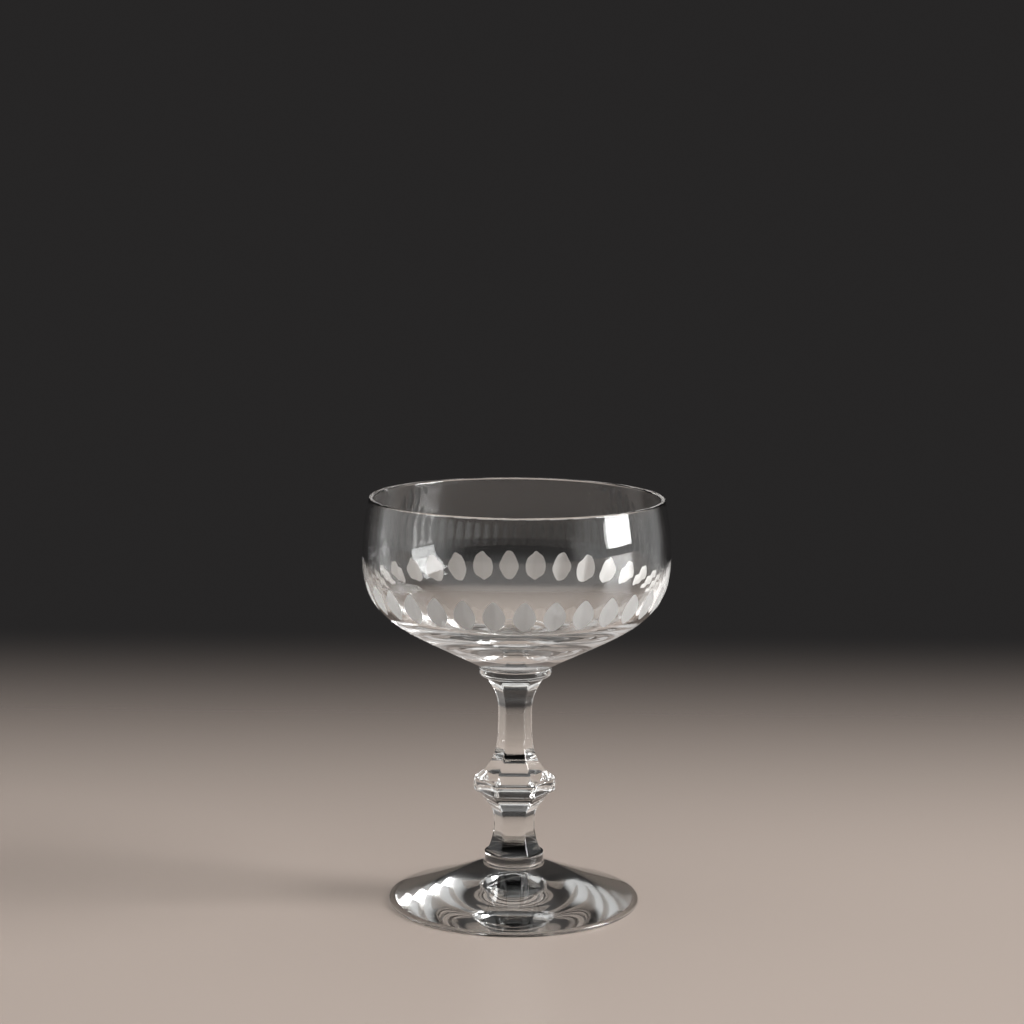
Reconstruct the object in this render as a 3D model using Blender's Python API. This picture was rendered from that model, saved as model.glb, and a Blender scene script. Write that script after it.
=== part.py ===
"""A sherbet glass: a blown bowl with a band of ground leaves, a merese, a hexagonal stem and a foot.

Four pieces of clear glass, made apart and fused hot, one above the other on the Z axis. The glass stands
on Z = 0, and a flat of the stem faces the front, -Y.
"""

from math import atan2, cos, pi, radians, sin, tan

import bmesh
import bpy
from mathutils import Matrix, Vector
from mathutils.geometry import interpolate_bezier

# Driving dimensions, in metres and radians

# Angles are measured up from level. The two pulls of a curve say how full it is at its start and its end,
# as shares of the straight line between them.

# Fused seam between two pieces
SEAM = 0.0003

# Foot
FOOT_RADIUS = 0.0354
FOOT_EDGE = 0.0012
FOOT_HEIGHT = 0.0142
FOOT_EDGE_ANGLE = radians(18.3)
FOOT_TOP_ANGLE = radians(23.7)
FOOT_TOP_PULLS = (0.34, 0.33)
FOOT_BEARING = 0.0016
FOOT_HOLLOW = 0.0044
FOOT_HOLLOW_ANGLE = radians(8.4)
FOOT_HOLLOW_PULLS = (0.45, 0.10)
BOSS_LEDGE = 0.0003
BOSS_SIDE = 0.0023
BOSS_FLARE = 0.0018
BOSS_FLARE_DROP = 0.00145
BOSS_FLARE_PULLS = (0.31, 0.43)

# Stem, from its base up, with radii from the axis to a corner of the hexagon
STEM_SIDES = 6
STEM_CORNER = 0.00035
STEM_BASE_RADIUS = 0.0080
STEM_BASE_RISE = 0.0075
STEM_BASE_ANGLE = radians(50.0)
STEM_BASE_PULLS = (0.21, 0.36)
NECK_RADIUS = 0.0059
NECK_RISE = 0.0086
NECK_ANGLE = radians(56.9)
NECK_PULLS = (0.56, 0.55)
KNOP_UNDER = 0.0023
KNOP_UNDER_RISE = 0.0013
KNOP_RADIUS = 0.0117
KNOP_BELT = 0.0039
KNOP_SHOULDER = 0.0028
KNOP_SHOULDER_RISE = 0.0018
SHAFT_RADIUS = 0.0049
SHAFT_RISE = 0.0172
SHAFT_ANGLE = radians(52.2)
SHAFT_PULLS = (0.31, 0.65)
STEM_TOP_RADIUS = 0.0085
STEM_TOP_RISE = 0.0097
STEM_TOP_ANGLE = radians(53.4)
STEM_TOP_PULLS = (0.19, 0.58)

# Merese, the round wafer between stem and bowl
MERESE_LEDGE = 0.0016
MERESE_THICKNESS = 0.0026
MERESE_TOP_ROUND = 0.0004
MERESE_UNDER_ROUND = 0.0013

# Bowl, from its seat up
BOWL_SEAT_INSET = 0.0002
BOWL_CONE_REACH = 0.0155
BOWL_CONE_RISE = 0.0078
BOWL_RADIUS = 0.0430
BOWL_TURN_RISE = 0.0232
BOWL_TURN_PULLS = (0.50, 0.405)
BOWL_SIDE_RISE = 0.0168
BOWL_SIDE_PULLS = (0.55, 0.39)
BOWL_RIM_INSET = 0.0017
BOWL_RIM_ANGLE = radians(99.5)
BOWL_RIM_WALL = 0.0014
BOWL_RIM_ROUND = 0.0004
BOWL_SIDE_WALL = 0.0014
BOWL_FLOOR = 0.0090
BOWL_FLOOR_PULLS = (0.45, 0.20)

# Inner corner where the thick base meets the wall, as shares of the reach and the rise of the outer turn
BOWL_CORNER = (0.49, 0.33)
BOWL_CORNER_ANGLE = radians(32.0)
BOWL_CORNER_PULLS = (0.25, 0.50)

# Leaves, each one touch of a grinding wheel whose rim comes to a blunt edge
LEAF_COUNT = 32
LEAF_FIRST = radians(-86.9)
LEAF_DROP = 0.0099
LEAF_DEPTH = 0.0008
WHEEL_RADIUS = 0.0900
WHEEL_WIDTH = 0.0070
WHEEL_BEVEL = radians(13.5)
WHEEL_RIM = 0.0030
WHEEL_SWEEP = radians(9.0)

# Fineness of the round shapes
TURN_STEPS = 72
CURVE_STEPS = 5
ROUND_STEPS = 3
WHEEL_STEPS = 8
MERGE = 0.000001
SHARP = radians(30)

# Sizes and heights that follow from the driving ones
BOSS_RADIUS = STEM_BASE_RADIUS + BOSS_LEDGE
NECK_Z = STEM_BASE_RISE
KNOP_UNDER_Z = NECK_Z + NECK_RISE
KNOP_BELT_Z = KNOP_UNDER_Z + KNOP_UNDER_RISE
KNOP_TOP_Z = KNOP_BELT_Z + KNOP_BELT
KNOP_SHOULDER_Z = KNOP_TOP_Z + KNOP_SHOULDER_RISE
SHAFT_Z = KNOP_SHOULDER_Z + SHAFT_RISE
STEM_LENGTH = SHAFT_Z + STEM_TOP_RISE
MERESE_RADIUS = STEM_TOP_RADIUS + MERESE_LEDGE
BOWL_SEAT_RADIUS = MERESE_RADIUS - BOWL_SEAT_INSET
BOWL_CONE_RADIUS = BOWL_SEAT_RADIUS + BOWL_CONE_REACH
BOWL_CONE_ANGLE = atan2(BOWL_CONE_RISE, BOWL_CONE_REACH)
BOWL_WIDEST_Z = BOWL_CONE_RISE + BOWL_TURN_RISE
BOWL_HEIGHT = BOWL_WIDEST_Z + BOWL_SIDE_RISE
BOWL_RIM_RADIUS = BOWL_RADIUS - BOWL_RIM_INSET

# Seats of the pieces above the table
STEM_SEAT = FOOT_HEIGHT + SEAM
MERESE_SEAT = STEM_SEAT + STEM_LENGTH + SEAM
BOWL_SEAT = MERESE_SEAT + MERESE_THICKNESS + SEAM

# Headings of an outline in the plane of radius and height
OUTWARD = 0.0
UP = pi / 2
INWARD = pi
DOWN = -pi / 2


def clear_scene():
    for thing in list(bpy.data.objects):
        bpy.data.objects.remove(thing, do_unlink=True)


def glass(name, colour, roughness):
    """Clear glass; the thicker the piece, the more its own grey-green shows."""
    finish = bpy.data.materials.new(name)
    finish.use_nodes = True
    shader = finish.node_tree.nodes["Principled BSDF"]
    shader.inputs["Base Color"].default_value = (*colour, 1.0)
    shader.inputs["Roughness"].default_value = roughness
    shader.inputs["Metallic"].default_value = 0.0
    shader.inputs["Transmission Weight"].default_value = 1.0
    shader.inputs["IOR"].default_value = 1.52
    return finish


def curve(start, start_heading, end, end_heading, pulls, steps=CURVE_STEPS):
    """Points of a smooth stretch of outline that leaves start, and reaches end, at the given headings."""
    first = Vector(start)
    last = Vector(end)
    length = (last - first).length
    leaving = first + pulls[0] * length * Vector((cos(start_heading), sin(start_heading)))
    reaching = last - pulls[1] * length * Vector((cos(end_heading), sin(end_heading)))
    points = interpolate_bezier(first, leaving, reaching, last, steps + 1)
    return [tuple(point) for point in points]


def arc(centre, radius, first, last, steps=ROUND_STEPS):
    """Points of a circular stretch of outline, from the angle first to the angle last."""
    angles = [first + (last - first) * step / steps for step in range(steps + 1)]
    return [(centre[0] + radius * cos(angle), centre[1] + radius * sin(angle)) for angle in angles]


def raised(outline, height):
    return [(radius, z + height) for radius, z in outline]


def sub_part(name, mesh, finish):
    """The mesh as a named object of the scene, shaded smooth between its sharp edges."""
    data = bpy.data.meshes.new(name)
    mesh.to_mesh(data)
    mesh.free()
    data.materials.append(finish)
    data.shade_smooth()
    data.set_sharp_from_angle(angle=SHARP)
    piece = bpy.data.objects.new(name, data)
    bpy.context.scene.collection.objects.link(piece)
    return piece


def turned(name, outline, finish):
    """One closed solid, an outline of (radius, height) points turned about the Z axis."""
    mesh = bmesh.new()
    points = [mesh.verts.new((radius, 0.0, height)) for radius, height in outline]
    edges = [mesh.edges.new(pair) for pair in zip(points, points[1:])]
    bmesh.ops.spin(
        mesh,
        geom=points + edges,
        axis=(0.0, 0.0, 1.0),
        angle=2 * pi,
        steps=TURN_STEPS,
        use_merge=True,
    )
    bmesh.ops.remove_doubles(mesh, verts=mesh.verts, dist=MERGE)
    bmesh.ops.recalc_face_normals(mesh, faces=mesh.faces)
    return sub_part(name, mesh, finish)


def foot():
    """A low cone with a rounded edge, a boss on top for the stem, and a hollow inside its bearing ring."""
    edge_radius = FOOT_EDGE / 2
    edge_centre = (FOOT_RADIUS - edge_radius, edge_radius)
    edge = arc(edge_centre, edge_radius, UP - FOOT_EDGE_ANGLE, DOWN, CURVE_STEPS)
    boss_root = (BOSS_RADIUS, FOOT_HEIGHT - BOSS_SIDE)
    cone_top = (boss_root[0] + BOSS_FLARE, boss_root[1] - BOSS_FLARE_DROP)
    hollow_edge = (edge_centre[0] - FOOT_BEARING, 0.0)
    outline = [
        (0.0, FOOT_HEIGHT),
        (BOSS_RADIUS, FOOT_HEIGHT),
        *curve(boss_root, DOWN, cone_top, -FOOT_TOP_ANGLE, BOSS_FLARE_PULLS, ROUND_STEPS),
        *curve(cone_top, -FOOT_TOP_ANGLE, edge[0], -FOOT_EDGE_ANGLE, FOOT_TOP_PULLS)[1:-1],
        *edge,
        *curve(hollow_edge, INWARD - FOOT_HOLLOW_ANGLE, (0.0, FOOT_HOLLOW), INWARD, FOOT_HOLLOW_PULLS),
    ]
    return turned("foot", outline, glass("foot_glass", (0.93, 0.96, 0.94), 0.02))


def stem_outline():
    """Corner radius and height up the stem: flared base, neck, belted knop, slim shaft and flared top."""
    neck = (NECK_RADIUS, NECK_Z)
    knop_under = (KNOP_RADIUS - KNOP_UNDER, KNOP_UNDER_Z)
    knop_shoulder = (KNOP_RADIUS - KNOP_SHOULDER, KNOP_SHOULDER_Z)
    shaft = (SHAFT_RADIUS, SHAFT_Z)
    return [
        *curve((STEM_BASE_RADIUS, 0.0), INWARD - STEM_BASE_ANGLE, neck, UP, STEM_BASE_PULLS),
        *curve(neck, UP, knop_under, NECK_ANGLE, NECK_PULLS)[1:],
        (KNOP_RADIUS, KNOP_BELT_Z),
        (KNOP_RADIUS, KNOP_TOP_Z),
        *curve(knop_shoulder, INWARD - SHAFT_ANGLE, shaft, UP, SHAFT_PULLS),
        *curve(shaft, UP, (STEM_TOP_RADIUS, STEM_LENGTH), STEM_TOP_ANGLE, STEM_TOP_PULLS)[1:],
    ]


def stem():
    """A pressed hexagonal stem, drawn out ring by ring from its base, with a flat to the front."""
    outline = raised(stem_outline(), STEM_SEAT)
    mesh = bmesh.new()
    before, height = outline[0]
    base = Matrix.Translation((0.0, 0.0, height)) @ Matrix.Rotation(pi / 2, 4, "Z")
    bmesh.ops.create_circle(mesh, cap_ends=True, segments=STEM_SIDES, radius=before, matrix=base)
    edges = list(mesh.edges)
    for radius, z in outline[1:]:
        made = bmesh.ops.extrude_edge_only(mesh, edges=edges)["geom"]
        ring = [part for part in made if isinstance(part, bmesh.types.BMVert)]
        edges = [part for part in made if isinstance(part, bmesh.types.BMEdge) and part.is_boundary]
        bmesh.ops.scale(mesh, verts=ring, vec=(radius / before, radius / before, 1.0))
        bmesh.ops.translate(mesh, verts=ring, vec=(0.0, 0.0, z - height))
        before, height = radius, z
    bmesh.ops.edgeloop_fill(mesh, edges=edges)
    bmesh.ops.recalc_face_normals(mesh, faces=mesh.faces)
    piece = sub_part("stem", mesh, glass("stem_glass", (0.93, 0.95, 0.93), 0.03))
    softened = piece.modifiers.new("pressed_corners", "BEVEL")
    softened.width = STEM_CORNER
    softened.segments = 2
    softened.limit_method = "ANGLE"
    softened.angle_limit = SHARP
    return piece


def merese():
    """A round wafer, its upper edge crisp under the bowl and its lower edge rolled in towards the stem."""
    top_centre = (MERESE_RADIUS - MERESE_TOP_ROUND, MERESE_THICKNESS - MERESE_TOP_ROUND)
    under_centre = (MERESE_RADIUS - MERESE_UNDER_ROUND, MERESE_UNDER_ROUND)
    outline = [
        (0.0, MERESE_THICKNESS),
        *arc(top_centre, MERESE_TOP_ROUND, UP, OUTWARD),
        *arc(under_centre, MERESE_UNDER_ROUND, OUTWARD, DOWN),
        (0.0, 0.0),
    ]
    return turned("merese", raised(outline, MERESE_SEAT), glass("merese_glass", (0.93, 0.95, 0.93), 0.03))


def lip():
    """The flat polished rim with its two rounded corners, from the outside wall over to the inside one."""
    lean = BOWL_RIM_ANGLE - UP
    height = BOWL_HEIGHT - BOWL_RIM_ROUND
    outer = (BOWL_RIM_RADIUS - BOWL_RIM_ROUND, height)
    inner = (BOWL_RIM_RADIUS - BOWL_RIM_WALL + BOWL_RIM_ROUND, height)
    return [*arc(outer, BOWL_RIM_ROUND, lean, UP), *arc(inner, BOWL_RIM_ROUND, UP, INWARD + lean)]


def bowl_side(wall, rim):
    """The side of the bowl from its widest ring up to the rim, set in by the thickness of the wall."""
    widest = (BOWL_RADIUS - wall, BOWL_WIDEST_Z)
    return curve(widest, UP, rim, BOWL_RIM_ANGLE, BOWL_SIDE_PULLS, ROUND_STEPS)


def bowl_outside():
    """The cone that rises from the seat, the turn above it and the side up to the rim."""
    cone_top = (BOWL_CONE_RADIUS, BOWL_CONE_RISE)
    side = bowl_side(0.0, lip()[0])
    turn = curve(cone_top, BOWL_CONE_ANGLE, side[0], UP, BOWL_TURN_PULLS, 2 * CURVE_STEPS)
    return [(BOWL_SEAT_RADIUS, 0.0), *turn, *side[1:]]


def bowl_inside():
    """The dished floor over the thick base, the turn above its corner and the side up to the rim."""
    corner = (
        BOWL_CONE_RADIUS + BOWL_CORNER[0] * (BOWL_RADIUS - BOWL_CONE_RADIUS),
        BOWL_CONE_RISE + BOWL_CORNER[1] * BOWL_TURN_RISE,
    )
    side = bowl_side(BOWL_SIDE_WALL, lip()[-1])
    floor = curve((0.0, BOWL_FLOOR), OUTWARD, corner, BOWL_CORNER_ANGLE, BOWL_FLOOR_PULLS)
    turn = curve(corner, BOWL_CORNER_ANGLE, side[0], UP, BOWL_CORNER_PULLS, 2 * CURVE_STEPS)
    return [*floor, *turn[1:], *side[1:]]


def leaf_seat():
    """Radius and height of the leaves on the bowl's outside, and how far the wall's normal dips there."""
    height = BOWL_WIDEST_Z - LEAF_DROP
    outside = bowl_outside()
    for lower, upper in zip(outside, outside[1:]):
        if lower[1] <= height <= upper[1]:
            share = (height - lower[1]) / (upper[1] - lower[1])
            radius = lower[0] + share * (upper[0] - lower[0])
            return radius, height, atan2(upper[0] - lower[0], upper[1] - lower[1])
    raise ValueError("the leaves lie off the bowl's side")


def leaf_wheels():
    """The stretch of wheel rim that grinds a leaf, at every leaf, as one cutter."""
    radius, height, dip = leaf_seat()
    reach = WHEEL_RADIUS - LEAF_DEPTH
    centre = Vector((radius + reach * cos(dip), 0.0, BOWL_SEAT + height - reach * sin(dip)))
    half_width = WHEEL_WIDTH / 2
    shoulder = WHEEL_RADIUS - half_width * tan(WHEEL_BEVEL)
    section = [
        (-half_width, shoulder),
        (0.0, WHEEL_RADIUS),
        (half_width, shoulder),
        (half_width, WHEEL_RADIUS - WHEEL_RIM),
        (-half_width, WHEEL_RADIUS - WHEEL_RIM),
    ]
    start = pi - dip - WHEEL_SWEEP / 2
    mesh = bmesh.new()
    points = [
        mesh.verts.new(centre + Vector((distance * cos(start), across, distance * sin(start))))
        for across, distance in section
    ]
    edges = [mesh.edges.new(pair) for pair in zip(points, points[1:] + points[:1])]
    bmesh.ops.spin(
        mesh,
        geom=points + edges,
        cent=centre,
        axis=(0.0, -1.0, 0.0),
        angle=WHEEL_SWEEP,
        steps=WHEEL_STEPS,
    )
    bmesh.ops.holes_fill(mesh, edges=mesh.edges)
    bmesh.ops.recalc_face_normals(mesh, faces=mesh.faces)
    first = list(mesh.verts) + list(mesh.edges) + list(mesh.faces)
    bmesh.ops.rotate(mesh, verts=mesh.verts, matrix=Matrix.Rotation(LEAF_FIRST, 3, "Z"))
    for leaf in range(1, LEAF_COUNT):
        copy = bmesh.ops.duplicate(mesh, geom=first)["geom"]
        copied = [part for part in copy if isinstance(part, bmesh.types.BMVert)]
        turn = Matrix.Rotation(leaf * 2 * pi / LEAF_COUNT, 3, "Z")
        bmesh.ops.rotate(mesh, verts=copied, matrix=turn)
    cutter = sub_part("leaf_wheels", mesh, glass("wheel_grit", (0.6, 0.6, 0.6), 0.9))
    cutter.hide_render = True
    cutter.display_type = "WIRE"
    return cutter


def bowl():
    """A blown bowl with a flat polished rim and a band of leaves ground into the turn of its side."""
    outline = [(0.0, 0.0), *bowl_outside(), *lip()[1:-1], *reversed(bowl_inside())]
    piece = turned("bowl", raised(outline, BOWL_SEAT), glass("bowl_glass", (0.96, 0.97, 0.96), 0.02))
    ground = piece.modifiers.new("ground_leaves", "BOOLEAN")
    ground.operation = "DIFFERENCE"
    ground.solver = "EXACT"
    ground.use_self = True
    ground.object = leaf_wheels()
    return piece


def main():
    clear_scene()
    foot()
    stem()
    merese()
    bowl()


main()
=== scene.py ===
"""The looks of a sherbet glass: clear blown and pressed glass, with ground leaves round the bowl.

Each piece is modelled where its CAD node stands and replaces it. The pieces of the real glass are fused, so
here they meet face to face, and the faces that meet can't be seen.
"""

from math import atan2, cos, pi, radians, sin, tan

import bpy
from mathutils import Matrix, Vector
from mathutils.geometry import interpolate_bezier


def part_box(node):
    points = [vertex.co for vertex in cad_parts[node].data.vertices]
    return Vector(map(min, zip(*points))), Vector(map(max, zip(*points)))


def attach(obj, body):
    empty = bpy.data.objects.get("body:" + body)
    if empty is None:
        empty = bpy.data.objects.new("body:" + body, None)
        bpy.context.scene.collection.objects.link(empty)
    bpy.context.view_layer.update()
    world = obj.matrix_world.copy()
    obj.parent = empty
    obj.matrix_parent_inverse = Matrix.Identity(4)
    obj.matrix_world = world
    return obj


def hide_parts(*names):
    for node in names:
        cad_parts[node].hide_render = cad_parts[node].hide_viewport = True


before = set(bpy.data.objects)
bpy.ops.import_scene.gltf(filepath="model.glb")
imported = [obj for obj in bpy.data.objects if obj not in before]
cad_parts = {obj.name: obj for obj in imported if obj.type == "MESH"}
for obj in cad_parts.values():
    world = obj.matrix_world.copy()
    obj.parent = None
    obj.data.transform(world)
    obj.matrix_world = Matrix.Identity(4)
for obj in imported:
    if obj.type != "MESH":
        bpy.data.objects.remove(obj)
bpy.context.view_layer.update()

# Places and sizes of the CAD nodes, in metres
FOOT_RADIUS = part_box("foot")[1][0]
FOOT_TOP_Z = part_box("foot")[1][2]
MERESE_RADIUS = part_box("merese")[1][0]
MERESE_UNDER_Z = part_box("merese")[0][2]
MERESE_TOP_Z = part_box("merese")[1][2]
BOWL_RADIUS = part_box("bowl")[1][0]
BOWL_TOP_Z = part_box("bowl")[1][2]

# Foot
FOOT_EDGE = 0.0012
FOOT_EDGE_ANGLE = radians(18.3)
FOOT_TOP_ANGLE = radians(23.7)
FOOT_TOP_PULLS = (0.34, 0.33)
FOOT_BEARING = 0.0016
FOOT_HOLLOW = 0.0044
FOOT_HOLLOW_ANGLE = radians(8.4)
FOOT_HOLLOW_PULLS = (0.45, 0.10)
BOSS_RADIUS = 0.0083
BOSS_SIDE = 0.0023
BOSS_FLARE = 0.0018
BOSS_FLARE_DROP = 0.00145
BOSS_FLARE_PULLS = (0.31, 0.43)

# Stem, from its base up, with radii from the axis to a corner of the hexagon
STEM_SIDES = 6
STEM_CORNER = 0.0005
STEM_CORNER_STEPS = 4
STEM_CORNER_ANGLE = radians(25)
STEM_BASE_RADIUS = 0.0080
STEM_BASE_RISE = 0.0078
STEM_BASE_ANGLE = radians(50.0)
STEM_BASE_PULLS = (0.21, 0.36)
NECK_RADIUS = 0.0059
NECK_RISE = 0.0086
NECK_ANGLE = radians(56.9)
NECK_PULLS = (0.56, 0.55)
KNOP_UNDER = 0.0023
KNOP_UNDER_RISE = 0.0013
KNOP_RADIUS = 0.0117
KNOP_BELT = 0.0039
KNOP_SHOULDER = 0.0028
KNOP_SHOULDER_RISE = 0.0018
SHAFT_RADIUS = 0.0049
SHAFT_RISE = 0.0172
SHAFT_ANGLE = radians(52.2)
SHAFT_PULLS = (0.31, 0.65)
STEM_TOP_RADIUS = 0.0086
STEM_TOP_ANGLE = radians(53.4)
STEM_TOP_PULLS = (0.19, 0.58)

# Merese
MERESE_TOP_ROUND = 0.0004
MERESE_UNDER_ROUND = 0.0013

# Bowl, from its seat up
BOWL_SEAT_RADIUS = 0.0093
BOWL_CONE_REACH = 0.0161
BOWL_CONE_RISE = 0.0081
BOWL_TURN_RISE = 0.0232
BOWL_TURN_PULLS = (0.50, 0.405)
BOWL_SIDE_PULLS = (0.55, 0.39)
BOWL_RIM_INSET = 0.0017
BOWL_RIM_ANGLE = radians(99.5)
BOWL_RIM_WALL = 0.0014
BOWL_RIM_ROUND = 0.00069
BOWL_SIDE_WALL = 0.0014
BOWL_FLOOR = 0.0093
BOWL_FLOOR_PULLS = (0.45, 0.20)
BOWL_CORNER = (0.485, 0.345)
BOWL_CORNER_ANGLE = radians(32.0)
BOWL_CORNER_PULLS = (0.25, 0.46)
RIB_COUNT = 96
RIB_DEPTH = 0.000004
RIB_START = 0.0120
RIB_END = 0.0460

# Leaves, each one touch of a grinding wheel whose rim comes to a blunt edge
LEAF_COUNT = 32
LEAF_FIRST = radians(-86.9)
LEAF_DROP = 0.0099
LEAF_DEPTH = 0.00083
WHEEL_RADIUS = 0.0900
WHEEL_WIDTH = 0.0070
WHEEL_BEVEL = radians(13.5)
WHEEL_RIM = 0.0030
WHEEL_EDGE = 0.0007
WHEEL_EDGE_STEPS = 5
WHEEL_SIDES = 720

# Finishes
GLASS_IOR = 1.52
SMEAR_ROUGHNESS = 0.02
FOOT_SOFTNESS = 0.02
LEAF_MATT_SHARE = 0.25

# Floor, which fades out between two distances behind the glass
FLOOR_RADIUS = 1.6
FLOOR_SIDES = 128
FLOOR_COLOUR = (0.50, 0.42, 0.37, 1.0)
FLOOR_FADE = (0.0, 0.40)

# Camera, with its lens and sensor width in millimetres
CAMERA_PLACE = (0.0, -0.6818, 0.2111)
CAMERA_TURN = radians(0.116)
CAMERA_DIP = radians(8.337)
CAMERA_ROLL = radians(0.5)
CAMERA_LENS = 87.11
CAMERA_SENSOR = 36.0

# Light of the room, and the height at which the lamp is aimed
AIM_Z = 0.08
ROOM_COLOUR = (0.05, 0.048, 0.046, 1.0)
CEILING_COLOUR = (1.0, 1.0, 1.0, 1.0)
BACKDROP_COLOUR = (0.02, 0.019, 0.019, 1.0)
LEFT_WALL_COLOUR = (0.65, 0.65, 0.65, 1.0)
RIGHT_WALL_COLOUR = (0.6, 0.6, 0.6, 1.0)

# Fineness of the round shapes
TURN_STEPS = 192
RIB_STEPS = 4
CURVE_STEPS = 14
FOOT_STEPS = 60
ROUND_STEPS = 8
SEED = 0.0001
MERGE = 0.000001
SOFT = radians(8)

# Headings of an outline in the plane of radius and height
OUTWARD = 0.0
UP = pi / 2
INWARD = pi
DOWN = -pi / 2


class Number:
    """A number that varies over a surface. Arithmetic with it adds Math nodes."""

    def __init__(self, finish, socket):
        self.finish = finish
        self.socket = socket

    def math(self, operation, first, second):
        node = self.finish.node("ShaderNodeMath", {"operation": operation}, {0: first, 1: second})
        return Number(self.finish, node.outputs[0])

    def __add__(self, other):
        return self.math("ADD", self, other)

    def __mul__(self, other):
        return self.math("MULTIPLY", self, other)

    __radd__ = __add__
    __rmul__ = __mul__


class Finish:
    """A node tree that ends in one shader, built a node at a time."""

    def __init__(self, owner, output):
        self.owner = owner
        owner.use_nodes = True
        self.tree = owner.node_tree
        self.tree.nodes.clear()
        self.output = self.tree.nodes.new(output)

    def node(self, kind, settings, sockets):
        node = self.tree.nodes.new(kind)
        for name, value in settings.items():
            setattr(node, name, value)
        for name, value in sockets.items():
            if isinstance(value, Number):
                self.tree.links.new(value.socket, node.inputs[name])
            elif isinstance(value, bpy.types.NodeSocket):
                self.tree.links.new(value, node.inputs[name])
            else:
                node.inputs[name].default_value = value
        return node

    def number(self, kind, settings, sockets, output):
        return Number(self, self.node(kind, settings, sockets).outputs[output])

    def ends_in(self, shader):
        self.tree.links.new(shader.outputs[0], self.output.inputs["Surface"])
        return self.owner


def material(name):
    return Finish(bpy.data.materials.new(name), "ShaderNodeOutputMaterial")


def curve(start, start_heading, end, end_heading, pulls, steps=CURVE_STEPS):
    """Points of a smooth stretch of outline that leaves start, and reaches end, at the given headings."""
    first = Vector(start)
    last = Vector(end)
    length = (last - first).length
    leaving = first + pulls[0] * length * Vector((cos(start_heading), sin(start_heading)))
    reaching = last - pulls[1] * length * Vector((cos(end_heading), sin(end_heading)))
    return [tuple(point) for point in interpolate_bezier(first, leaving, reaching, last, steps + 1)]


def arc(centre, radius, first, last, steps=ROUND_STEPS):
    """Points of a circular stretch of outline, from the angle first to the angle last."""
    angles = [first + (last - first) * step / steps for step in range(steps + 1)]
    return [(centre[0] + radius * cos(angle), centre[1] + radius * sin(angle)) for angle in angles]


def raised(outline, height):
    return [(radius, z + height) for radius, z in outline]


def editing(piece, mode="VERT"):
    """Only this piece is selected and open for editing, with nothing of it selected."""
    bpy.ops.object.select_all(action="DESELECT")
    piece.select_set(True)
    bpy.context.view_layer.objects.active = piece
    bpy.ops.object.mode_set(mode="EDIT")
    bpy.ops.mesh.select_mode(type=mode)
    bpy.ops.mesh.select_all(action="DESELECT")


def select_points(piece, chosen):
    """Selects the points of a piece that is open for editing, by their place."""
    bpy.ops.object.mode_set(mode="OBJECT")
    for point in piece.data.vertices:
        point.select = chosen(point.co)
    bpy.ops.object.mode_set(mode="EDIT")


def done():
    bpy.ops.object.mode_set(mode="OBJECT")


def drawn(name, outline):
    """A single point drawn out along an outline, left open for editing."""
    bpy.ops.object.select_all(action="DESELECT")
    bpy.ops.mesh.primitive_plane_add(size=SEED, location=(outline[0][0], 0.0, outline[0][1]))
    piece = bpy.context.object
    piece.name = name
    piece.data.name = name
    bpy.ops.object.transform_apply(location=True)
    bpy.ops.object.mode_set(mode="EDIT")
    bpy.ops.mesh.select_mode(type="VERT")
    bpy.ops.mesh.select_all(action="SELECT")
    bpy.ops.mesh.merge(type="CENTER")
    for before, after in zip(outline, outline[1:]):
        move = (after[0] - before[0], 0.0, after[1] - before[1])
        bpy.ops.mesh.extrude_vertices_move(TRANSFORM_OT_translate={"value": move})
    return piece


def turned(name, outline, steps):
    """A piece turned about the Z axis."""
    piece = drawn(name, outline)
    bpy.ops.mesh.select_all(action="SELECT")
    bpy.ops.mesh.spin(steps=steps, angle=2 * pi, center=(0.0, 0.0, 0.0), axis=(0.0, 0.0, 1.0))
    bpy.ops.mesh.select_all(action="SELECT")
    bpy.ops.mesh.remove_doubles(threshold=MERGE)
    bpy.ops.mesh.normals_make_consistent(inside=False)
    done()
    return piece


def level_faces(piece, height, reach):
    """The faces of a piece that lie flat at a height, within reach of the axis."""
    return [
        face
        for face in piece.data.polygons
        if abs(face.center.z - height) < SEED
        and abs(face.normal.z) > cos(SOFT)
        and all(piece.data.vertices[corner].co.xy.length < reach + SEED for corner in face.vertices)
    ]


def fuse(piece, height, reach):
    """Gives the flat faces where a piece meets its neighbour the finish of a fused seam."""
    for face in level_faces(piece, height, reach):
        face.material_index = 1


def open_to(piece, stem, height):
    """Closes the open ring of a piece with a flat that has the end of the stem marked out in it."""
    bpy.ops.object.select_all(action="DESELECT")
    stem.select_set(True)
    bpy.context.view_layer.objects.active = stem
    bpy.ops.object.duplicate()
    mark = bpy.context.object
    editing(mark)
    select_points(mark, lambda place: abs(place.z - height) > SEED)
    bpy.ops.mesh.delete(type="VERT")
    bpy.ops.mesh.select_all(action="SELECT")
    bpy.ops.mesh.delete(type="ONLY_FACE")
    done()
    piece.select_set(True)
    bpy.context.view_layer.objects.active = piece
    bpy.ops.object.join()
    editing(piece, "EDGE")
    bpy.ops.mesh.select_non_manifold(extend=False)
    bpy.ops.mesh.bridge_edge_loops()
    bpy.ops.mesh.select_all(action="DESELECT")
    bpy.ops.mesh.select_non_manifold(extend=False)
    bpy.ops.mesh.edge_face_add()
    bpy.ops.mesh.select_all(action="SELECT")
    bpy.ops.mesh.normals_make_consistent(inside=False)
    done()


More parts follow.
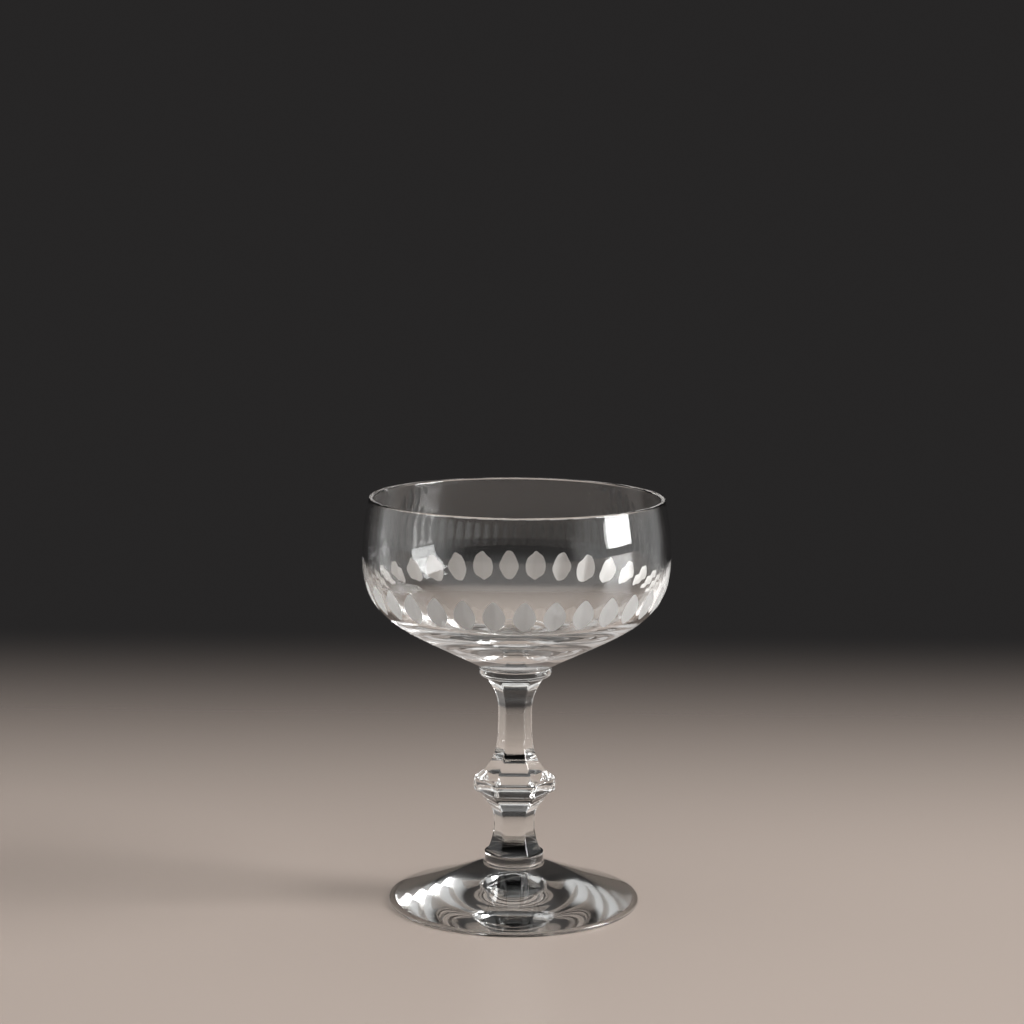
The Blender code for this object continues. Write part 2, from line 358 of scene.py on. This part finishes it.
def stem_outline():
    """Corner radius and height up the stem: flared base, neck, belted knop, slim shaft and flared top."""
    neck = (NECK_RADIUS, STEM_BASE_RISE)
    under_z = neck[1] + NECK_RISE
    belt_z = under_z + KNOP_UNDER_RISE
    belt_top_z = belt_z + KNOP_BELT
    shoulder_z = belt_top_z + KNOP_SHOULDER_RISE
    shaft = (SHAFT_RADIUS, shoulder_z + SHAFT_RISE)
    top = (STEM_TOP_RADIUS, MERESE_UNDER_Z - FOOT_TOP_Z)
    knop_under = (KNOP_RADIUS - KNOP_UNDER, under_z)
    knop_shoulder = (KNOP_RADIUS - KNOP_SHOULDER, shoulder_z)
    return [
        *curve((STEM_BASE_RADIUS, 0.0), INWARD - STEM_BASE_ANGLE, neck, UP, STEM_BASE_PULLS),
        *curve(neck, UP, knop_under, NECK_ANGLE, NECK_PULLS)[1:],
        (KNOP_RADIUS, belt_z),
        (KNOP_RADIUS, belt_top_z),
        *curve(knop_shoulder, INWARD - SHAFT_ANGLE, shaft, UP, SHAFT_PULLS),
        *curve(shaft, UP, top, STEM_TOP_ANGLE, STEM_TOP_PULLS)[1:],
    ]


def make_stem():
    """A hexagon drawn up ring by ring from the boss to the merese, its corners soft from a worn mould."""
    outline = raised(stem_outline(), FOOT_TOP_Z)
    bpy.ops.object.select_all(action="DESELECT")
    bpy.ops.mesh.primitive_circle_add(
        vertices=STEM_SIDES,
        radius=outline[0][0],
        fill_type="NGON",
        location=(0.0, 0.0, outline[0][1]),
        rotation=(0.0, 0.0, pi / 2),
    )
    stem = bpy.context.object
    stem.name = "pressed_stem"
    stem.data.name = stem.name
    bpy.ops.object.transform_apply(location=True, rotation=True)
    bpy.ops.object.mode_set(mode="EDIT")
    bpy.ops.mesh.select_all(action="SELECT")
    for before, after in zip(outline, outline[1:]):
        move = (0.0, 0.0, after[1] - before[1])
        bpy.ops.mesh.extrude_region_move(TRANSFORM_OT_translate={"value": move})
        grow = after[0] / before[0]
        bpy.ops.transform.resize(value=(grow, grow, 1.0), center_override=(0.0, 0.0, after[1]))
    bpy.ops.mesh.select_mode(type="FACE")
    bpy.ops.mesh.select_all(action="DESELECT")
    done()
    for face in stem.data.polygons:
        face.select = len(face.vertices) == STEM_SIDES
    bpy.ops.object.mode_set(mode="EDIT")
    bpy.ops.mesh.delete(type="ONLY_FACE")
    bpy.ops.mesh.select_all(action="SELECT")
    bpy.ops.mesh.normals_make_consistent(inside=False)
    done()
    softened = stem.modifiers.new("worn_corners", "BEVEL")
    softened.width = STEM_CORNER
    softened.segments = STEM_CORNER_STEPS
    softened.limit_method = "ANGLE"
    softened.angle_limit = STEM_CORNER_ANGLE
    bpy.ops.object.modifier_apply(modifier=softened.name)
    editing(stem, "EDGE")
    bpy.ops.mesh.select_non_manifold(extend=False)
    bpy.ops.mesh.fill_holes(sides=0)
    bpy.ops.mesh.select_all(action="SELECT")
    bpy.ops.mesh.normals_make_consistent(inside=False)
    done()
    return stem


def make_foot(stem):
    """A low cone with a thin rounded edge, a boss for the stem and a shallow hollow underneath."""
    edge_radius = FOOT_EDGE / 2
    edge_centre = (FOOT_RADIUS - edge_radius, edge_radius)
    edge = arc(edge_centre, edge_radius, UP - FOOT_EDGE_ANGLE, DOWN, 2 * ROUND_STEPS)
    boss_root = (BOSS_RADIUS, FOOT_TOP_Z - BOSS_SIDE)
    cone_top = (boss_root[0] + BOSS_FLARE, boss_root[1] - BOSS_FLARE_DROP)
    hollow_edge = (edge_centre[0] - FOOT_BEARING, 0.0)
    hollow = curve(
        hollow_edge, INWARD - FOOT_HOLLOW_ANGLE, (0.0, FOOT_HOLLOW), INWARD, FOOT_HOLLOW_PULLS, FOOT_STEPS
    )
    outline = [
        (BOSS_RADIUS, FOOT_TOP_Z),
        *curve(boss_root, DOWN, cone_top, -FOOT_TOP_ANGLE, BOSS_FLARE_PULLS, ROUND_STEPS),
        *curve(cone_top, -FOOT_TOP_ANGLE, edge[0], -FOOT_EDGE_ANGLE, FOOT_TOP_PULLS, FOOT_STEPS)[1:-1],
        *edge,
        *hollow,
    ]
    foot = turned("cast_foot", outline, TURN_STEPS)
    open_to(foot, stem, FOOT_TOP_Z)
    return foot


def make_merese(stem):
    """A round wafer, its upper edge crisp under the bowl and its lower edge rolled in towards the stem."""
    top_centre = (MERESE_RADIUS - MERESE_TOP_ROUND, MERESE_TOP_Z - MERESE_TOP_ROUND)
    under_centre = (MERESE_RADIUS - MERESE_UNDER_ROUND, MERESE_UNDER_Z + MERESE_UNDER_ROUND)
    outline = [
        *arc(under_centre, MERESE_UNDER_ROUND, DOWN, OUTWARD, 2 * ROUND_STEPS),
        *arc(top_centre, MERESE_TOP_ROUND, OUTWARD, UP),
        (BOWL_SEAT_RADIUS, MERESE_TOP_Z),
        (0.0, MERESE_TOP_Z),
    ]
    merese = turned("merese_wafer", outline, TURN_STEPS)
    open_to(merese, stem, MERESE_UNDER_Z)
    return merese


def lip():
    """The rim, rounded over from the outside wall to the inside one."""
    lean = BOWL_RIM_ANGLE - UP
    height = BOWL_TOP_Z - MERESE_TOP_Z - BOWL_RIM_ROUND
    outer = (BOWL_RADIUS - BOWL_RIM_INSET - BOWL_RIM_ROUND, height)
    inner = (BOWL_RADIUS - BOWL_RIM_INSET - BOWL_RIM_WALL + BOWL_RIM_ROUND, height)
    return [*arc(outer, BOWL_RIM_ROUND, lean, UP), *arc(inner, BOWL_RIM_ROUND, UP, INWARD + lean)]


def bowl_side(wall, rim):
    """The side of the bowl from its widest ring up to the rim, set in by the thickness of the wall."""
    widest = (BOWL_RADIUS - wall, BOWL_CONE_RISE + BOWL_TURN_RISE)
    return curve(widest, UP, rim, BOWL_RIM_ANGLE, BOWL_SIDE_PULLS)


def bowl_outside():
    """The cone that rises from the seat, the turn above it and the side up to the rim."""
    seat = Vector((BOWL_SEAT_RADIUS, 0.0))
    cone_top = Vector((BOWL_SEAT_RADIUS + BOWL_CONE_REACH, BOWL_CONE_RISE))
    cone_angle = atan2(BOWL_CONE_RISE, BOWL_CONE_REACH)
    side = bowl_side(0.0, lip()[0])
    cone = [tuple(seat.lerp(cone_top, step / ROUND_STEPS)) for step in range(ROUND_STEPS)]
    turn = curve(cone_top, cone_angle, side[0], UP, BOWL_TURN_PULLS, 2 * CURVE_STEPS)
    return [*cone, *turn, *side[1:]]


def bowl_inside():
    """The dished floor over the thick base, the turn above its corner and the side up to the rim."""
    cone_radius = BOWL_SEAT_RADIUS + BOWL_CONE_REACH
    corner = (
        cone_radius + BOWL_CORNER[0] * (BOWL_RADIUS - cone_radius),
        BOWL_CONE_RISE + BOWL_CORNER[1] * BOWL_TURN_RISE,
    )
    side = bowl_side(BOWL_SIDE_WALL, lip()[-1])
    floor = curve((0.0, BOWL_FLOOR), OUTWARD, corner, BOWL_CORNER_ANGLE, BOWL_FLOOR_PULLS, 2 * CURVE_STEPS)
    turn = curve(corner, BOWL_CORNER_ANGLE, side[0], UP, BOWL_CORNER_PULLS, 2 * CURVE_STEPS)
    return [*floor, *turn[1:], *side[1:]]


def press_ribs(sector):
    """Every fourth column of points inside the wall stands in a little, and the next but one stands out."""
    step = 2 * pi / RIB_COUNT / RIB_STEPS
    inside = raised(bowl_inside(), MERESE_TOP_Z)
    rings = [Vector(ring) for ring in inside if RIB_START < ring[1] - MERESE_TOP_Z < RIB_END]

    def on_column(place, phase):
        column = round(atan2(place.y, place.x) / step) % RIB_STEPS
        spot = Vector((place.xy.length, place.z))
        return column == phase and any((spot - ring).length < RIB_DEPTH for ring in rings)

    editing(sector)
    for phase, depth in ((0, -RIB_DEPTH), (RIB_STEPS // 2, RIB_DEPTH)):
        bpy.ops.mesh.select_all(action="DESELECT")
        select_points(sector, lambda place: on_column(place, phase))
        grow = 1 + depth / BOWL_RADIUS
        bpy.ops.transform.resize(value=(grow, grow, 1.0), center_override=(0.0, 0.0, 0.0))
    done()


def leaf_seat():
    """Radius and height of the leaves on the bowl's outside, and how far the wall's normal dips there."""
    height = BOWL_CONE_RISE + BOWL_TURN_RISE - LEAF_DROP
    outside = bowl_outside()
    for lower, upper in zip(outside, outside[1:]):
        if lower[1] <= height <= upper[1]:
            share = (height - lower[1]) / (upper[1] - lower[1])
            radius = lower[0] + share * (upper[0] - lower[0])
            return radius, height, atan2(upper[0] - lower[0], upper[1] - lower[1])
    raise ValueError("the leaves lie off the bowl's side")


def leaf_wheel(ground):
    """The stretch of wheel rim that grinds a leaf."""
    radius, height, dip = leaf_seat()
    inward = Vector((-cos(dip), 0.0, sin(dip)))
    seat = Vector((radius, 0.0, MERESE_TOP_Z + height))
    centre = seat - inward * (WHEEL_RADIUS - LEAF_DEPTH)
    shoulder = WHEEL_RADIUS - WHEEL_WIDTH / 2 * tan(WHEEL_BEVEL)
    bpy.ops.object.select_all(action="DESELECT")
    bpy.ops.mesh.primitive_cylinder_add(
        vertices=WHEEL_SIDES,
        radius=shoulder,
        depth=WHEEL_WIDTH,
        location=centre,
        rotation=(pi / 2, 0.0, 0.0),
    )
    wheel = bpy.context.object
    wheel.data.materials.append(ground)
    bpy.ops.object.transform_apply(location=True, rotation=True)
    bpy.ops.object.mode_set(mode="EDIT")
    bpy.ops.mesh.select_all(action="SELECT")
    bpy.ops.mesh.bisect(plane_co=centre, plane_no=(0.0, 1.0, 0.0))
    grow = WHEEL_RADIUS / shoulder
    bpy.ops.transform.resize(value=(grow, 1.0, grow), center_override=centre)
    bpy.ops.mesh.bevel(offset=WHEEL_EDGE, segments=WHEEL_EDGE_STEPS)
    bpy.ops.mesh.select_all(action="SELECT")
    cut = centre + inward * (WHEEL_RADIUS - WHEEL_RIM)
    bpy.ops.mesh.bisect(plane_co=cut, plane_no=inward, use_fill=True, clear_inner=True)
    done()
    return wheel


def bowl_sector():
    """The slice of the bowl that holds one leaf, as a closed wedge across the X axis."""
    outline = raised([(0.0, 0.0), *bowl_outside(), *lip()[1:-1], *reversed(bowl_inside())], MERESE_TOP_Z)
    slice_angle = 2 * pi / LEAF_COUNT
    sector = drawn("blown_bowl", outline)
    bpy.ops.mesh.select_all(action="SELECT")
    bpy.ops.mesh.edge_face_add()
    steps = RIB_COUNT * RIB_STEPS // LEAF_COUNT
    bpy.ops.mesh.spin(steps=steps, angle=slice_angle, center=(0.0, 0.0, 0.0), axis=(0.0, 0.0, 1.0))
    bpy.ops.mesh.select_all(action="SELECT")
    bpy.ops.mesh.remove_doubles(threshold=MERGE)
    bpy.ops.mesh.normals_make_consistent(inside=False)
    done()
    press_ribs(sector)
    side = max((point.co.y for point in sector.data.vertices), key=abs)
    sector.rotation_euler.z = -slice_angle / 2 if side > 0 else slice_angle / 2
    bpy.ops.object.transform_apply(rotation=True)
    return sector


def grind(bowl, wheel):
    """Cuts the touch of the wheel out of the bowl, with the wheel's finish on the cut."""
    bpy.ops.object.select_all(action="DESELECT")
    bowl.select_set(True)
    bpy.context.view_layer.objects.active = bowl
    cut = bowl.modifiers.new("ground_leaf", "BOOLEAN")
    cut.operation = "DIFFERENCE"
    cut.solver = "EXACT"
    cut.material_mode = "TRANSFER"
    cut.object = wheel
    bpy.ops.object.modifier_apply(modifier=cut.name)
    bpy.data.objects.remove(wheel, do_unlink=True)


def make_bowl(finishes, ground):
    """A blown bowl with faint ribs and a band of ground leaves, one slice copied all the way round."""
    bowl = bowl_sector()
    for finish in finishes:
        bowl.data.materials.append(finish)
    grind(bowl, leaf_wheel(ground))
    editing(bowl, "FACE")
    done()
    half = pi / LEAF_COUNT
    for face in bowl.data.polygons:
        corners = [bowl.data.vertices[corner].co for corner in face.vertices]
        face.select = all(
            place.xy.length < SEED or abs(abs(atan2(place.y, place.x)) - half) < SEED for place in corners
        )
    bpy.ops.object.mode_set(mode="EDIT")
    bpy.ops.mesh.delete(type="FACE")
    done()
    bowl.rotation_euler.z = LEAF_FIRST
    bpy.ops.object.transform_apply(rotation=True)
    bpy.ops.object.mode_set(mode="EDIT")
    bpy.ops.mesh.select_all(action="SELECT")
    bpy.ops.mesh.spin(
        steps=LEAF_COUNT - 1,
        dupli=True,
        angle=2 * pi * (LEAF_COUNT - 1) / LEAF_COUNT,
        center=(0.0, 0.0, 0.0),
        axis=(0.0, 0.0, 1.0),
    )
    bpy.ops.mesh.select_all(action="SELECT")
    bpy.ops.mesh.remove_doubles(threshold=2 * MERGE)
    bpy.ops.mesh.normals_make_consistent(inside=False)
    done()
    return bowl


def clear_glass(name, colour, softness=0.0):
    """Glass with the faintest smears left by a cloth. Softness dulls the polish of the whole piece."""
    finish = material(name)
    place = finish.node("ShaderNodeTexCoord", {}, {}).outputs["Object"]
    smears = finish.number("ShaderNodeTexNoise", {}, {"Vector": place, "Scale": 60.0, "Detail": 3.0}, "Fac")
    shader = finish.node(
        "ShaderNodeBsdfPrincipled",
        {},
        {
            "Base Color": (*colour, 1.0),
            "Roughness": smears * SMEAR_ROUGHNESS + softness,
            "IOR": GLASS_IOR,
            "Transmission Weight": 1.0,
        },
    )
    return finish.ends_in(shader)


def ground_glass():
    """Glass left matt by the wheel, which scatters the light that falls on it and through it."""
    finish = material("ground_leaf")
    place = finish.node("ShaderNodeTexCoord", {}, {}).outputs["Object"]
    grit = finish.number("ShaderNodeTexNoise", {}, {"Vector": place, "Scale": 3000.0, "Detail": 2.0}, "Fac")
    bump = finish.node(
        "ShaderNodeBump", {}, {"Strength": 0.4, "Distance": 0.0001, "Height": grit}
    ).outputs["Normal"]
    through = finish.node(
        "ShaderNodeBsdfTranslucent", {}, {"Color": (0.98, 0.98, 0.97, 1.0), "Normal": bump}
    )
    matt = finish.node(
        "ShaderNodeBsdfPrincipled",
        {},
        {
            "Base Color": (0.93, 0.93, 0.92, 1.0),
            "Roughness": grit * 0.2 + 0.6,
            "Normal": bump,
        },
    )
    mixed = finish.node(
        "ShaderNodeMixShader", {}, {0: LEAF_MATT_SHARE, 1: through.outputs[0], 2: matt.outputs[0]}
    )
    return finish.ends_in(mixed)


def fused_seam():
    """Where two pieces have melted together there is no surface left to see."""
    finish = material("fused_seam")
    shader = finish.node("ShaderNodeBsdfPrincipled", {}, {"Base Color": (1.0, 1.0, 1.0, 1.0), "Alpha": 0.0})
    return finish.ends_in(shader)


def floor_finish():
    """Pale satin board that fades into the backdrop behind the glass."""
    finish = material("pale_board")
    place = finish.node("ShaderNodeTexCoord", {}, {}).outputs["Object"]
    behind = finish.number("ShaderNodeSeparateXYZ", {}, {"Vector": place}, "Y")
    fade = finish.number(
        "ShaderNodeMapRange",
        {"interpolation_type": "SMOOTHSTEP"},
        {"Value": behind, "From Min": FLOOR_FADE[0], "From Max": FLOOR_FADE[1]},
        "Result",
    )
    board = finish.node("ShaderNodeBsdfPrincipled", {}, {"Base Color": FLOOR_COLOUR, "Roughness": 0.3})
    nothing = finish.node("ShaderNodeBsdfTransparent", {}, {})
    mixed = finish.node("ShaderNodeMixShader", {}, {0: fade, 1: board.outputs[0], 2: nothing.outputs[0]})
    return finish.ends_in(mixed)


def lay_floor():
    bpy.ops.object.select_all(action="DESELECT")
    bpy.ops.mesh.primitive_circle_add(vertices=FLOOR_SIDES, radius=FLOOR_RADIUS, fill_type="NGON")
    floor = bpy.context.object
    floor.name = "floor"
    floor.data.materials.append(floor_finish())


def hang_backdrop():
    """A charcoal backdrop behind the glass, in a dim room with a pale ceiling and pale side walls."""
    world = bpy.data.worlds.new("backdrop")
    bpy.context.scene.world = world
    finish = Finish(world, "ShaderNodeOutputWorld")
    way = finish.node("ShaderNodeTexCoord", {}, {}).outputs["Generated"]
    axes = finish.node("ShaderNodeSeparateXYZ", {}, {"Vector": way})

    def beside(seen, axis, start, end, colour):
        """What is seen so far, giving way to the colour as the view turns along an axis."""
        share = finish.node(
            "ShaderNodeMapRange",
            {"interpolation_type": "SMOOTHSTEP"},
            {"Value": axes.outputs[axis], "From Min": start, "From Max": end},
        ).outputs["Result"]
        mixed = finish.node(
            "ShaderNodeMix", {"data_type": "RGBA"}, {"Factor": share, "A": seen, "B": colour}
        )
        return mixed.outputs["Result"]

    seen = beside(ROOM_COLOUR, "Z", 0.30, 0.75, CEILING_COLOUR)
    seen = beside(seen, "Y", 0.05, 0.40, BACKDROP_COLOUR)
    seen = beside(seen, "Z", 0.70, 0.90, CEILING_COLOUR)
    seen = beside(seen, "X", -0.74, -0.88, LEFT_WALL_COLOUR)
    seen = beside(seen, "X", 0.60, 0.85, RIGHT_WALL_COLOUR)
    background = finish.node("ShaderNodeBackground", {}, {"Color": seen, "Strength": 1.0})
    finish.ends_in(background)


def soft_light(name, azimuth, elevation, distance, width, height, power):
    """A soft box that faces the glass; the azimuth is measured from the camera round to the right."""
    target = Vector((0.0, 0.0, AIM_Z))
    way = Vector((sin(azimuth) * cos(elevation), -cos(azimuth) * cos(elevation), sin(elevation)))
    bpy.ops.object.light_add(type="AREA", location=target + way * distance)
    light = bpy.context.object
    light.name = name
    light.data.shape = "RECTANGLE"
    light.data.size = width
    light.data.size_y = height
    light.data.energy = power
    light.rotation_euler = way.to_track_quat("Z", "Y").to_euler()


def place_camera():
    """The camera stands a little above the rim and looks slightly down, turned by half a degree."""
    bpy.ops.object.camera_add()
    camera = bpy.context.object
    camera.matrix_world = (
        Matrix.Translation(CAMERA_PLACE)
        @ Matrix.Rotation(CAMERA_TURN, 4, "Z")
        @ Matrix.Rotation(pi / 2 - CAMERA_DIP, 4, "X")
        @ Matrix.Rotation(CAMERA_ROLL, 4, "Z")
    )
    camera.data.sensor_width = CAMERA_SENSOR
    camera.data.lens = CAMERA_LENS
    camera.data.clip_start = 0.01
    bpy.context.scene.camera = camera


def dress(piece, node, finishes):
    """Finishes a piece, puts it in place of its CAD node and lets it move with the glass."""
    for finish in finishes:
        piece.data.materials.append(finish)
    bpy.ops.object.select_all(action="DESELECT")
    piece.select_set(True)
    bpy.context.view_layer.objects.active = piece
    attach(piece, "root")
    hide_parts(node)


def smooth(piece):
    bpy.ops.object.select_all(action="DESELECT")
    piece.select_set(True)
    bpy.context.view_layer.objects.active = piece
    bpy.ops.object.shade_smooth_by_angle(angle=SOFT)


def main():
    scene = bpy.context.scene
    scene.view_settings.view_transform = "Standard"
    scene.cycles.max_bounces = 32
    scene.cycles.transmission_bounces = 32
    scene.cycles.glossy_bounces = 16
    scene.cycles.transparent_max_bounces = 32
    place_camera()
    hang_backdrop()
    lay_floor()
    soft_light(
        "key_light",
        azimuth=radians(82),
        elevation=radians(20),
        distance=3.0,
        width=1.25,
        height=2.05,
        power=130.0,
    )

    seam = fused_seam()
    ground = ground_glass()
    stem = make_stem()
    foot = make_foot(stem)
    merese = make_merese(stem)
    bowl = make_bowl([clear_glass("blown_glass", (0.98, 0.985, 0.98)), seam], ground)
    dress(stem, "stem", [clear_glass("pressed_glass", (0.96, 0.97, 0.96)), seam])
    dress(foot, "foot", [clear_glass("cast_glass", (0.96, 0.97, 0.96), FOOT_SOFTNESS), seam])
    dress(merese, "merese", [clear_glass("wafer_glass", (0.96, 0.97, 0.96)), seam])
    dress(bowl, "bowl", [])
    fuse(stem, FOOT_TOP_Z, STEM_BASE_RADIUS)
    fuse(stem, MERESE_UNDER_Z, STEM_TOP_RADIUS)
    fuse(foot, FOOT_TOP_Z, STEM_BASE_RADIUS)
    fuse(merese, MERESE_UNDER_Z, STEM_TOP_RADIUS)
    fuse(merese, MERESE_TOP_Z, BOWL_SEAT_RADIUS)
    fuse(bowl, MERESE_TOP_Z, BOWL_SEAT_RADIUS)
    for piece in (stem, foot, merese, bowl):
        smooth(piece)


main()
